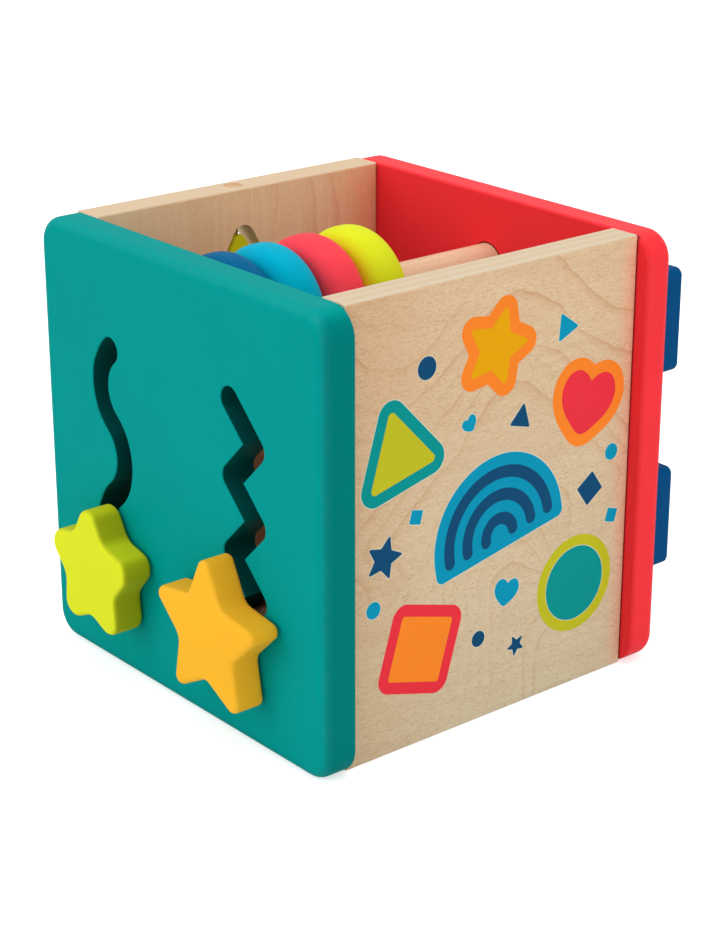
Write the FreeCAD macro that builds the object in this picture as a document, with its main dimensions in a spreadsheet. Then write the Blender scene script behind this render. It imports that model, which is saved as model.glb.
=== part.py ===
import FreeCAD, Part
import math
import os
import re
import Sketcher

# Wooden activity box. Frame: millimetres, origin on the floor at the centre of
# the footprint, +Z up. The front board, with its slots, faces -Y, the side board
# with the triangular window faces -X, and the square blocks sit on the back, +Y.

DIMENSIONS = [
    # alias, value, note
    ("panel_w", 160.8, "front and back board width"),
    ("box_high", 161.5, "height of every wall"),
    ("wall", 12, "side board thickness"),
    ("front_wall", 13, "front board thickness"),
    ("back_wall", 13, "back board thickness"),
    ("inner_len", 129, "side board length, front to back"),
    ("side_span", 150, "outside to outside over the side boards"),
    ("corner_r", 10, "board corner radius"),
    ("edge_out_r", 4.5, "painted board edge rounding, outer face"),
    ("edge_in_r", 1.0, "painted board edge rounding, inner face"),
    ("wood_edge_r", 0.8, "plain wood edge rounding"),
    ("wood_end_r", 0.5, "rounding of the side boards' ends, where they meet the painted boards"),
    ("slot_edge_r", 0.6, "slot edge rounding"),
    ("floor_thick", 9, "floor board thickness"),
    ("slot_w", 9.3, "slot width"),
    ("zig_x", 31.45, "zigzag left vertices X"),
    ("zig_step", 13.47, "zigzag pitch, across and down"),
    ("track_top", 121.8, "top end of zigzag slot centre line Z"),
    ("wave_x", -37.9, "wavy slot mid line X"),
    ("wave_top", 121.3, "top end of wavy slot centre line Z"),
    ("wave_r", 17, "wavy slot arc radius"),
    ("wave_half", 13.425, "half the chord of each arc"),
    ("knob_thick", 12.2, "star and flower knob thickness"),
    ("knob_gap", 0.7, "gap between a knob and its board"),
    ("knob_rim_r", 1.8, "rounding of the knob edges"),
    ("star_tip", 31.5, "star tip circle, before rounding"),
    ("star_dip", 15.6, "star notch circle, before rounding"),
    ("star_tip_r", 3.1, "star tip rounding"),
    ("star_dip_r", 5.0, "star notch rounding"),
    ("flower_tip", 29.3, "flower lobe circle, before rounding"),
    ("flower_dip", 16.2, "flower notch circle, before rounding"),
    ("flower_tip_r", 5.8, "flower lobe rounding"),
    ("flower_dip_r", 7, "flower notch rounding"),
    ("pin_r", 4, "knob pin radius"),
    ("pin_bore_r", 4.08, "washer and axle bore radius"),
    ("pin_seat", 8, "depth of a pin in its knob"),
    ("head_r", 6, "pin head radius"),
    ("head_thick", 3, "pin head thickness"),
    ("washer_r", 8, "washer radius"),
    ("washer_thick", 2, "washer thickness"),
    ("washer_gap", 0.4, "gap between washer and board"),
    ("head_gap", 0.1, "gap between washer and pin head"),
    ("rod_r", 7.5, "bead dowel radius"),
    ("rod_seat", 7, "depth of the dowel in a board"),
    ("rod_high", 135.1, "bead dowel centre Z"),
    ("bead_r", 24.8, "bead radius"),
    ("bead_thick", 17.5, "bead thickness"),
    ("bead_bore_r", 7.6, "bead bore radius"),
    ("bead_edge_r", 7.6, "bead edge rounding"),
    ("bead_bore_edge_r", 1.0, "bead bore edge rounding"),
    ("bead_first", 1.25, "gap from front board to the first bead"),
    ("bead_pitch", 18.3, "bead spacing at rest"),
    ("window_apex", 152.6, "triangular window apex Z, before rounding"),
    ("window_side", 56, "window side, before rounding"),
    ("window_r", 5, "window corner radius"),
    ("spin_apex", 146.5, "triangle apex Z, before rounding"),
    ("spin_high", 41.9, "triangle height, before rounding"),
    ("spin_thick", 8, "triangle thickness"),
    ("spin_corner_r", 3.2, "triangle corner radius"),
    ("spin_rim_r", 1.2, "triangle edge rounding"),
    ("steel_r", 1.5, "steel rod radius"),
    ("steel_bore_r", 1.6, "triangle bore radius"),
    ("steel_foot", 10, "depth of the steel rod below the window"),
    ("plug_r", 3.6, "plug radius"),
    ("plug_bore", 5, "plug bore depth"),
    ("plug_sink", 0.6, "plug recess below the edge"),
    ("block_side", 38.1, "square block side"),
    ("block_thick", 11.6, "square block thickness"),
    ("block_corner_r", 3, "square block corner radius"),
    ("block_x", 55.2, "square block axle X"),
    ("block_high_up", 126.1, "upper block axle Z"),
    ("block_high_low", 51.4, "lower block axle Z"),
    ("axle_head_r", 6.5, "block axle head radius"),
    ("axle_head_gap", 0.5, "gap between the board and an axle head"),
    ("dowel_r", 3, "joint pin radius"),
    ("dowel_panel", 7, "joint pin depth in front or back board"),
    ("dowel_side", 16, "joint pin depth in a side board"),
    ("dowel_slack", 0.5, "free end gap of a joint pin or bead dowel hole"),
    ("dowel_low", 32, "lower joint pin Z"),
    ("dowel_up", 128, "upper joint pin Z"),
]

# Expressions in the sheet's aliases, shared by several pieces
SIDE_MID = "(side_span/2 - wall/2)"     # side board mid plane, |X|
LEFT_MID = "-1*" + SIDE_MID
WINDOW_FOOT = "window_apex - window_side*sqrt(3)/2"
STEEL_FOOT = WINDOW_FOOT + " - steel_foot"
STEEL_LENGTH = f"box_high - plug_bore - ({STEEL_FOOT})"

OVERRUN = 2             # how far a cutting tool runs past the surface it opens
ZIG_RUNS = 6            # straight runs in the zigzag slot
WAVE_ARCS = 3           # arcs in the wavy slot
SLOT_MARGIN = 15        # the slots lie further than this from the board's edges
TOLERANCE = 1e-4        # for placing edges on planes and matching radii
SCRATCH_CELL = "D1"

FACES = ((-1, "front"), (1, "back"))    # sign of Y
SIDES = ((-1, "left"), (1, "right"))    # sign of X
LEVELS = ("low", "up")

Vector = FreeCAD.Vector
TO_FRONT = FreeCAD.Rotation(Vector(1, 0, 0), 90)    # turns local Z to -Y
TO_BACK = FreeCAD.Rotation(Vector(1, 0, 0), -90)    # turns local Z to +Y

doc = FreeCAD.newDocument("activity_box")
sheet = doc.addObject("Spreadsheet::Sheet", "Sheet")
size = {}
for row, (alias, value, note) in enumerate(DIMENSIONS, start=1):
    sheet.set(f"A{row}", note)
    sheet.set(f"B{row}", str(value))
    sheet.setAlias(f"B{row}", alias)
    size[alias] = float(value)
doc.recompute()


# ---------------------------------------------------------------- expressions
def bind(obj, path, expression):
    """Bind a property to an expression in the sheet's aliases."""
    def prefixed(match):
        word = match.group(0)
        return "Sheet." + word if word in size else word

    obj.setExpression(path, re.sub(r"\b[a-z]+(?:_[a-z]+)*\b", prefixed, expression))


def number(expression):
    """Value of an expression, worked out in a spare cell of the sheet."""
    sheet.set(SCRATCH_CELL, "=" + expression)
    sheet.recompute()
    return float(sheet.get(SCRATCH_CELL))


def put(obj, x, y, z):
    """Bind an object's position."""
    for axis, expression in zip("xyz", (x, y, z)):
        bind(obj, ".Placement.Base." + axis, expression)


# ---------------------------------------------------------------- plain solids
def cylinder(name, radius, length, place, rotation=FreeCAD.Rotation(), angle=None):
    solid = doc.addObject("Part::Cylinder", name)
    solid.Placement = FreeCAD.Placement(Vector(0, 0, 0), rotation)
    bind(solid, "Radius", radius)
    bind(solid, "Height", length)
    if angle is not None:
        bind(solid, "Angle", angle)
    put(solid, *place)
    return solid


def box(name, length, width, height, place, rotation=FreeCAD.Rotation()):
    solid = doc.addObject("Part::Box", name)
    solid.Placement = FreeCAD.Placement(Vector(0, 0, 0), rotation)
    bind(solid, "Length", length)
    bind(solid, "Width", width)
    bind(solid, "Height", height)
    put(solid, *place)
    return solid


def fuse(name, parts):
    union = doc.addObject("Part::MultiFuse", name)
    union.Shapes = parts
    return union


def cut(name, base, tool):
    result = doc.addObject("Part::Cut", name)
    result.Base = base
    result.Tool = tool
    return result


# ---------------------------------------------------------------- sketched bodies
def sketch_on(body, role, name):
    sketch = body.newObject("Sketcher::SketchObject", name)
    plane = [o for o in body.Origin.OriginFeatures if o.Role == role][0]
    sketch.AttachmentSupport = (plane, [""])
    sketch.MapMode = "FlatFace"
    return sketch


def add_polygon(sketch, points):
    """Closed polygon; points holds an (across, up) pair of expressions per vertex."""
    corners = [Vector(number(across), number(up), 0) for across, up in points]
    lines = [sketch.addGeometry(Part.LineSegment(start, end), False)
             for start, end in zip(corners, corners[1:] + corners[:1])]
    for line, following in zip(lines, lines[1:] + lines[:1]):
        sketch.addConstraint(Sketcher.Constraint("Coincident", line, 2, following, 1))
    for i, point in enumerate(points):
        for axis, expression in zip("XY", point):
            # signed distance from the origin to the vertex
            constraint = sketch.addConstraint(Sketcher.Constraint(
                "Distance" + axis, -1, 1, lines[i], 1, number(expression)))
            name = f"vertex_{i}_{axis.lower()}"
            sketch.renameConstraint(constraint, name)
            bind(sketch, "Constraints." + name, expression)


def add_circle(sketch, radius):
    """Circle round the sketch's origin."""
    circle = sketch.addGeometry(Part.Circle(Vector(0, 0, 0), Vector(0, 0, 1), size[radius]), False)
    sketch.addConstraint(Sketcher.Constraint("Coincident", circle, 3, -1, 1))
    constraint = sketch.addConstraint(Sketcher.Constraint("Radius", circle, size[radius]))
    sketch.renameConstraint(constraint, "circle_radius")
    bind(sketch, "Constraints.circle_radius", radius)


def pad(body, sketch, length, mid=False):
    """Pad along the sketch's normal: -Y from XZ_Plane, or both ways if mid."""
    feature = body.newObject("PartDesign::Pad", sketch.Name + "_pad")
    feature.Profile = sketch
    bind(feature, "Length", length)
    feature.Midplane = mid
    sketch.Visibility = False
    doc.recompute()


def pocket_through(body, sketch):
    feature = body.newObject("PartDesign::Pocket", sketch.Name + "_pocket")
    feature.Profile = sketch
    feature.Type = 1                    # through all
    feature.Midplane = True
    doc.recompute()


def fillet(body, radius, pick, name):
    """Round the edges of the body's tip for which pick(edge) is true."""
    tip = body.Tip
    names = [f"Edge{i}" for i, edge in enumerate(tip.Shape.Edges, start=1) if pick(edge)]
    if not names:
        raise RuntimeError("no edges for " + name)
    feature = body.newObject("PartDesign::Fillet", name)
    feature.Base = (tip, names)
    bind(feature, "Radius", radius)
    doc.recompute()
    if "Invalid" in feature.State or "Error" in feature.State or not feature.Shape.isValid():
        raise RuntimeError("fillet failed: " + name)


def along(axis):
    """Picks straight edges along an axis of the body's own frame."""
    def pick(edge):
        if not isinstance(edge.Curve, Part.Line):
            return False
        run = edge.Vertexes[-1].Point - edge.Vertexes[0].Point
        extents = [abs(run.x), abs(run.y), abs(run.z)]
        main = extents.pop("xyz".index(axis))
        return main > 1e-6 and max(extents) < 1e-6
    return pick


def on_plane(axis, *levels):
    """Picks edges lying in a plane across an axis, at any of the levels."""
    def pick(edge):
        bounds = edge.BoundBox
        low = getattr(bounds, axis.upper() + "Min")
        high = getattr(bounds, axis.upper() + "Max")
        return any(abs(low - level) < TOLERANCE and abs(high - level) < TOLERANCE
                   for level in levels)
    return pick


# ---------------------------------------------------------------- outlines
def rectangle(width, bottom, top):
    return [(f"-{width}/2", bottom), (f"{width}/2", bottom),
            (f"{width}/2", top), (f"-{width}/2", top)]


def triangle(apex, half_width, foot):
    return [("0", apex), ("-" + half_width, foot), (half_width, foot)]


def star(tip, dip):
    """Five-pointed star, first tip up; tip and dip are the circles' radii."""
    points = []
    for i in range(10):
        turn = math.radians(90 + 36 * i)
        radius = tip if i % 2 == 0 else dip
        points.append((f"{math.cos(turn):.9f}*{radius}", f"{math.sin(turn):.9f}*{radius}"))
    return points


# ---------------------------------------------------------------- front and back boards
def painted_board(name, thick, outer_y, inner_y):
    """Rounded square board, centred on its own XZ origin, from Y = 0 to -thick."""
    body = doc.addObject("PartDesign::Body", name)
    outline = sketch_on(body, "XZ_Plane", name + "_outline")
    add_polygon(outline, rectangle("panel_w", "-box_high/2", "box_high/2"))
    pad(body, outline, thick)
    fillet(body, "corner_r", along("y"), name + "_corners")
    fillet(body, "edge_out_r", on_plane("y", outer_y), name + "_outer_edge")
    fillet(body, "edge_in_r", on_plane("y", inner_y), name + "_inner_edge")
    return body


def panel_bores(face, sign):
    """Blind bores in a painted board's inner face, for the bead dowel and joint pins."""
    outward = TO_FRONT if sign < 0 else TO_BACK
    inner_y = f"{sign}*inner_len/2"
    bores = [cylinder(face + "_rod_seat", "rod_r", "rod_seat + dowel_slack",
                      ("0", inner_y, "rod_high"), outward)]
    for x_sign, side in SIDES:
        for level in LEVELS:
            bores.append(cylinder(f"{face}_pin_bore_{side}_{level}", "dowel_r",
                                  "dowel_panel + dowel_slack",
                                  (f"{x_sign}*{SIDE_MID}", inner_y, "dowel_" + level), outward))
    return bores


SLOT_DEPTH = f"front_wall + {2 * OVERRUN}"
SLOT_BACK = f"-inner_len/2 + {OVERRUN}"
SLOT_FRONT = f"-inner_len/2 - front_wall - {OVERRUN}"


def slot_round(name, x, z):
    """Slot-wide cylinder through the front board."""
    return cylinder(name, "slot_w/2", SLOT_DEPTH, (x, SLOT_BACK, z), TO_FRONT)


def zigzag_tools():
    """Equal 45 degree runs between round corners, going down."""
    tools = []
    for k in range(ZIG_RUNS + 1):
        x = "zig_x" if k % 2 == 0 else "zig_x + zig_step"
        tools.append(slot_round(f"zig_round_{k}", x, f"track_top - {k}*zig_step"))
    # a run's box starts at its corner, half a slot width off the centre line
    offset = "slot_w/2/sqrt(2)"
    for k in range(ZIG_RUNS):
        top = f"track_top - {k}*zig_step"
        if k % 2 == 0:                  # down to the right
            tilt, x, z = 45, f"zig_x - {offset}", f"{top} - {offset}"
        else:                           # down to the left
            tilt, x, z = 135, f"zig_x + zig_step - {offset}", f"{top} + {offset}"
        tools.append(box(f"zig_run_{k}", "zig_step*sqrt(2)", SLOT_DEPTH, "slot_w",
                         (x, SLOT_FRONT, z), FreeCAD.Rotation(Vector(0, 1, 0), tilt)))
    return tools


def wave_tools():
    """Equal arcs bulging left, right and left, with round slot ends."""
    tools = []
    centre_offset = "sqrt(wave_r*wave_r - wave_half*wave_half)"
    half_angle = math.degrees(math.asin(size["wave_half"] / size["wave_r"]))
    for k in range(WAVE_ARCS):
        if k % 2 == 0:
            x, start = "wave_x + " + centre_offset, 180 - half_angle
        else:
            x, start = "wave_x - " + centre_offset, -half_angle
        place = (x, SLOT_BACK, f"wave_top - {2 * k + 1}*wave_half")
        rotation = TO_FRONT.multiply(FreeCAD.Rotation(Vector(0, 0, 1), start))
        outer, inner = [
            cylinder(f"wave_{rim}_{k}", f"wave_r {sign} slot_w/2", SLOT_DEPTH, place, rotation,
                     "2*asin(wave_half/wave_r)")
            for rim, sign in (("outer", "+"), ("inner", "-"))]
        tools.append(cut(f"wave_arc_{k}", outer, inner))
    for k in (0, 2 * WAVE_ARCS):
        tools.append(slot_round(f"wave_end_{k}", "wave_x", f"wave_top - {k}*wave_half"))
    return tools


def make_front_panel():
    blank = painted_board("front_blank", "front_wall", -size["front_wall"], 0)
    put(blank, "0", "-inner_len/2", "box_high/2")
    tool = fuse("front_tool", zigzag_tools() + wave_tools() + panel_bores("front", -1))
    slotted = cut("front_cut", blank, tool)
    doc.recompute()

    # light rounding where the slots meet the outer face
    on_outer_face = on_plane("y", -size["inner_len"] / 2 - size["front_wall"])
    radius = size["slot_edge_r"]
    edges = []
    for i, edge in enumerate(slotted.Shape.Edges, start=1):
        middle = edge.BoundBox.Center
        if (on_outer_face(edge) and abs(middle.x) < size["panel_w"] / 2 - SLOT_MARGIN
                and SLOT_MARGIN < middle.z < size["box_high"] - SLOT_MARGIN):
            edges.append((i, radius, radius))
    panel = doc.addObject("Part::Fillet", "front_panel")
    panel.Base = slotted
    panel.Edges = edges
    return panel


def make_back_panel():
    blank = painted_board("back_blank", "back_wall", 0, -size["back_wall"])
    put(blank, "0", "inner_len/2 + back_wall", "box_high/2")
    axle_bores = [
        cylinder("axle_bore_" + level, "pin_bore_r", f"back_wall + {2 * OVERRUN}",
                 ("block_x", f"inner_len/2 - {OVERRUN}", "block_high_" + level), TO_BACK)
        for level in ("up", "low")]
    return cut("back_panel", blank, fuse("back_tool", axle_bores + panel_bores("back", 1)))


# ---------------------------------------------------------------- side boards
def side_bores(side, x):
    """Blind bores in both ends of a side board, for the joint pins."""
    bores = []
    for y_sign, face in FACES:
        inward = TO_BACK if y_sign < 0 else TO_FRONT
        for level in LEVELS:
            bores.append(cylinder(f"{side}_end_bore_{face}_{level}", "dowel_r",
                                  "dowel_side + dowel_slack",
                                  (x, f"{y_sign}*inner_len/2", "dowel_" + level), inward))
    return bores


def steel_bores():
    """Bores down the left board for the steel rod and the plug above it."""
    return [
        cylinder("steel_bore", "steel_r", f"{STEEL_LENGTH} + {OVERRUN}",
                 (LEFT_MID, "0", STEEL_FOOT)),
        cylinder("plug_bore_cut", "plug_r", f"plug_bore + {OVERRUN}",
                 (LEFT_MID, "0", "box_high - plug_bore")),
    ]


def side_panel(sign, side, windowed):
    """Plain wood board in the YZ plane; the left one has the triangular window."""
    blank = doc.addObject("PartDesign::Body", side + "_blank")
    outline = sketch_on(blank, "YZ_Plane", side + "_outline")
    add_polygon(outline, rectangle("inner_len", "0", "box_high"))
    pad(blank, outline, "wall", mid=True)

    def at_end(edge):
        return abs(edge.BoundBox.Center.y) > size["inner_len"] / 2 - 1

    def at_top_or_bottom(edge):
        z = edge.BoundBox.Center.z
        return z < 1 or z > size["box_high"] - 1

    if windowed:
        window = sketch_on(blank, "YZ_Plane", "window")
        add_polygon(window, triangle("window_apex", "window_side/2", WINDOW_FOOT))
        pocket_through(blank, window)
        fillet(blank, "window_r", lambda e: along("x")(e) and not at_end(e), "window_corners")
    fillet(blank, "wood_edge_r", lambda e: along("y")(e) and at_top_or_bottom(e),
           side + "_edges")
    fillet(blank, "wood_end_r", lambda e: along("z")(e) and at_end(e), side + "_ends")
    x = f"{sign}*{SIDE_MID}"
    put(blank, x, "0", "0")
    bores = side_bores(side, x)
    if windowed:
        bores += steel_bores()
    return cut(side + "_panel", blank, fuse(side + "_tool", bores))


# ---------------------------------------------------------------- floor
def make_floor():
    return box("base_panel", "side_span - 2*wall", "inner_len", "floor_thick",
               ("-(side_span - 2*wall)/2", "-inner_len/2", "0"))


# ---------------------------------------------------------------- dowel and beads
def make_bead_rod():
    return cylinder("bead_rod", "rod_r", "inner_len + 2*rod_seat",
                    ("0", "-inner_len/2 - rod_seat", "rod_high"), TO_BACK)


def bead(name, index):
    """Fat round bead, centred on its own origin; index counts from the front."""
    body = doc.addObject("PartDesign::Body", name)
    disc = sketch_on(body, "XZ_Plane", name + "_disc")
    add_circle(disc, "bead_r")
    pad(body, disc, "bead_thick", mid=True)
    bore = sketch_on(body, "XZ_Plane", name + "_bore")
    add_circle(bore, "bead_bore_r")
    pocket_through(body, bore)
    bore_radius = size["bead_bore_r"]

    def outer_rim(edge):
        return isinstance(edge.Curve, Part.Circle) and edge.Curve.Radius > bore_radius + 1

    def bore_rim(edge):
        # a full circle has one vertex; the rounding's seam arc may have the same radius
        return (isinstance(edge.Curve, Part.Circle) and len(edge.Vertexes) == 1
                and abs(edge.Curve.Radius - bore_radius) < TOLERANCE)

    fillet(body, "bead_edge_r", outer_rim, name + "_round")
    fillet(body, "bead_bore_edge_r", bore_rim, name + "_bore_edge")
    put(body, "0", f"-inner_len/2 + bead_first + bead_thick/2 + {index}*bead_pitch", "rod_high")
    return body


# ---------------------------------------------------------------- spinning triangle
def make_spinner():
    """Triangle in the window of the left board, bored upright for the steel rod."""
    blank = doc.addObject("PartDesign::Body", "spin_blank")
    outline = sketch_on(blank, "YZ_Plane", "spin_outline")
    add_polygon(outline, triangle("spin_apex", "spin_high/sqrt(3)", "spin_apex - spin_high"))
    pad(blank, outline, "spin_thick", mid=True)
    fillet(blank, "spin_corner_r", along("x"), "spin_corners")
    half_thick = size["spin_thick"] / 2
    fillet(blank, "spin_rim_r", on_plane("x", half_thick, -half_thick), "spin_rim")
    put(blank, LEFT_MID, "0", "0")
    bore = cylinder("spin_bore", "steel_bore_r", f"spin_high + {2 * OVERRUN}",
                    (LEFT_MID, "0", f"spin_apex - spin_high - {OVERRUN}"))
    return cut("spinner", blank, bore)


def make_spinner_rod():
    return cylinder("spinner_rod", "steel_r", STEEL_LENGTH, (LEFT_MID, "0", STEEL_FOOT))


def make_rod_plug():
    return cylinder("rod_plug", "plug_r", "plug_bore - plug_sink",
                    (LEFT_MID, "0", "box_high - plug_bore"))


# ---------------------------------------------------------------- knobs and blocks
def knob(name, points, thick, roundings, place, turned=False):
    """Flat knob facing -Y, or +Y if turned, with a blind pin bore in its back.
    roundings: (feature name, radius, edge pick) for the outline's corners."""
    body = doc.addObject("PartDesign::Body", name)
    outline = sketch_on(body, "XZ_Plane", name + "_outline")
    add_polygon(outline, points)
    pad(body, outline, thick)
    for feature, radius, pick in roundings:
        fillet(body, radius, pick, f"{name}_{feature}")
    fillet(body, "knob_rim_r", on_plane("y", 0, -size[thick]), name + "_rim")
    bore = sketch_on(body, "XZ_Plane", name + "_pin_bore")
    add_circle(bore, "pin_r")
    pocket = body.newObject("PartDesign::Pocket", name + "_pin_pocket")
    pocket.Profile = bore
    bind(pocket, "Length", "pin_seat")
    pocket.Reversed = True              # into the knob, towards local -Y
    doc.recompute()
    if turned:
        body.Placement = FreeCAD.Placement(Vector(0, 0, 0),
                                           FreeCAD.Rotation(Vector(0, 0, 1), 180))
    put(body, *place)
    return body


def headed_pin(name, x, z, sign, head_radius, head_offset):
    """Pin from a knob through its board, with a head inside the box.
    sign is -1 for the front board and 1 for the back board."""
    thick, inward = ("front_wall", TO_BACK) if sign < 0 else ("back_wall", TO_FRONT)
    shaft_y = f"{sign}*(inner_len/2 + {thick} + knob_gap + pin_seat)"
    head_y = f"{sign}*(inner_len/2 - ({head_offset}))"
    shaft = cylinder(name + "_shaft", "pin_r",
                     f"pin_seat + knob_gap + {thick} + ({head_offset})",
                     (x, shaft_y, z), inward)
    head = cylinder(name + "_head", head_radius, "head_thick", (x, head_y, z), inward)
    pin = fuse(name, [shaft, head])
    pin.Refine = True
    return pin


def washer(name, x, z):
    """Washer behind the front board."""
    disc = cylinder(name + "_disc", "washer_r", "washer_thick",
                    (x, "-inner_len/2 + washer_gap", z), TO_BACK)
    bore = cylinder(name + "_bore", "pin_bore_r", f"washer_thick + {2 * OVERRUN}",
                    (x, f"-inner_len/2 + washer_gap - {OVERRUN}", z), TO_BACK)
    return cut(name, disc, bore)


def slider(shape, x, z):
    """Star or flower knob on the front board, with its pin and washer."""
    tip, dip = shape + "_tip", shape + "_dip"
    middle = (size[tip] + size[dip]) / 2

    def reach(edge):
        centre = edge.BoundBox.Center
        return math.hypot(centre.x, centre.z)

    roundings = [
        ("tips", tip + "_r", lambda e: along("y")(e) and reach(e) > middle),
        ("dips", dip + "_r", lambda e: along("y")(e) and abs(reach(e) - size[dip]) < 1e-3),
    ]
    return [
        knob(shape + "_knob", star(tip, dip), "knob_thick", roundings,
             (x, "-inner_len/2 - front_wall - knob_gap", z)),
        headed_pin(shape + "_pin", x, z, -1, "head_r", "washer_gap + washer_thick + head_gap"),
        washer(shape + "_washer", x, z),
    ]


def turning_block(position, z):
    """Square block on the back board, with its axle."""
    return [
        knob(position + "_block", rectangle("block_side", "-block_side/2", "block_side/2"),
             "block_thick", [("corners", "block_corner_r", along("y"))],
             ("block_x", "inner_len/2 + back_wall + knob_gap", z), turned=True),
        headed_pin(position + "_axle", "block_x", z, 1, "axle_head_r", "axle_head_gap"),
    ]


# ---------------------------------------------------------------- joint pins
def make_joint_pins():
    """Pins joining the side boards to the front and back boards."""
    pins = []
    for y_sign, face in FACES:
        y = "-inner_len/2 - dowel_panel" if y_sign < 0 else "inner_len/2 - dowel_side"
        for x_sign, side in SIDES:
            for level in LEVELS:
                pins.append(cylinder(f"joint_pin_{face}_{side}_{level}", "dowel_r",
                                     "dowel_panel + dowel_side",
                                     (f"{x_sign}*{SIDE_MID}", y, "dowel_" + level), TO_BACK))
    return pins


# ---------------------------------------------------------------- assembly and export
pieces = [
    make_front_panel(),
    make_back_panel(),
    side_panel(1, "right", windowed=False),
    side_panel(-1, "left", windowed=True),
    make_floor(),
    make_bead_rod(),
]
for index, colour in enumerate(("dark_blue", "light_blue", "coral", "lime")):
    pieces.append(bead("bead_" + colour, index))
pieces += [make_spinner(), make_spinner_rod(), make_rod_plug()]
# both sliders rest at the bottom of their slots
pieces += slider("star", "zig_x", f"track_top - {ZIG_RUNS}*zig_step")
pieces += slider("flower", "wave_x", f"wave_top - {2 * WAVE_ARCS}*wave_half")
pieces += turning_block("upper", "block_high_up")
pieces += turning_block("lower", "block_high_low")
pieces += make_joint_pins()

sheet.clear(SCRATCH_CELL)
doc.recompute()
os.makedirs("parts", exist_ok=True)
for piece in pieces:
    if "Invalid" in piece.State or "Error" in piece.State:
        raise RuntimeError(f"{piece.Label} is in error: {piece.State}")
    shape = piece.Shape
    if shape.isNull() or not shape.isValid() or shape.Volume <= 0 or len(shape.Solids) != 1:
        raise RuntimeError(f"{piece.Label} has a bad shape")
for piece in pieces:
    piece.Shape.exportStep(f"parts/{piece.Label}.step")
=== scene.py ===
"""Looks for the wooden activity box: painted and plain wood, prints, floor, light and camera.

The box stands on the floor, Z up: teal board in front (-Y), red board at the back (+Y), printed
board on the right (+X). Lengths are in millimetres and become metres when a mesh is made. Only the
studio (floor sheet, lights, camera) is laid out in metres.
"""

import math

import bpy
import numpy as np
from mathutils import Matrix, Vector


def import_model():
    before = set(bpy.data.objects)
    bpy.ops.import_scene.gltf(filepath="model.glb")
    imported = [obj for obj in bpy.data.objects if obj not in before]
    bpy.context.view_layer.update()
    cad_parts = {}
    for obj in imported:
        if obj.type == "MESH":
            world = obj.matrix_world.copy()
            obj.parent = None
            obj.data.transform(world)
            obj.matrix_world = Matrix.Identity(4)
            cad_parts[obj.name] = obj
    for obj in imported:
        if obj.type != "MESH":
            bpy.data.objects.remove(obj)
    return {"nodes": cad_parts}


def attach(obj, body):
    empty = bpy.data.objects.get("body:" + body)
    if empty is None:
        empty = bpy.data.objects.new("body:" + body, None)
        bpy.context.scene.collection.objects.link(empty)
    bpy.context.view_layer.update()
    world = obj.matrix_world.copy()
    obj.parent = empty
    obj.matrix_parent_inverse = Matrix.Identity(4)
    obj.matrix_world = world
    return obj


MM = 0.001

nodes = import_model()["nodes"]
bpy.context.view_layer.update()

SIDE_X = 75.0  # outer faces of the left and right boards
SIDE_THICK = 12.0
FLOOR_THICK = 9.0
SIDE_END_Y = 64.5  # ends of the printed board
SIDE_TOP_Z = 160.0
RED_INNER_Y = 66.0  # the red board's inner face lies in front of this


# ---------------------------------------------------------------- colour and node helpers


def lin(r, g, b):
    """A screen colour, 0 to 255, as the linear colour a shader wants."""
    out = []
    for c in (r, g, b):
        c = c / 255.0
        out.append(c / 12.92 if c <= 0.04045 else ((c + 0.055) / 1.055) ** 2.4)
    return tuple(out) + (1.0,)


def scale(colour, by):
    """The colour times one number, or times one number per channel."""
    factors = (by,) * 3 if isinstance(by, float) else by
    return tuple(min(1.0, c * k) for c, k in zip(colour, factors)) + (1.0,)


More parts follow.
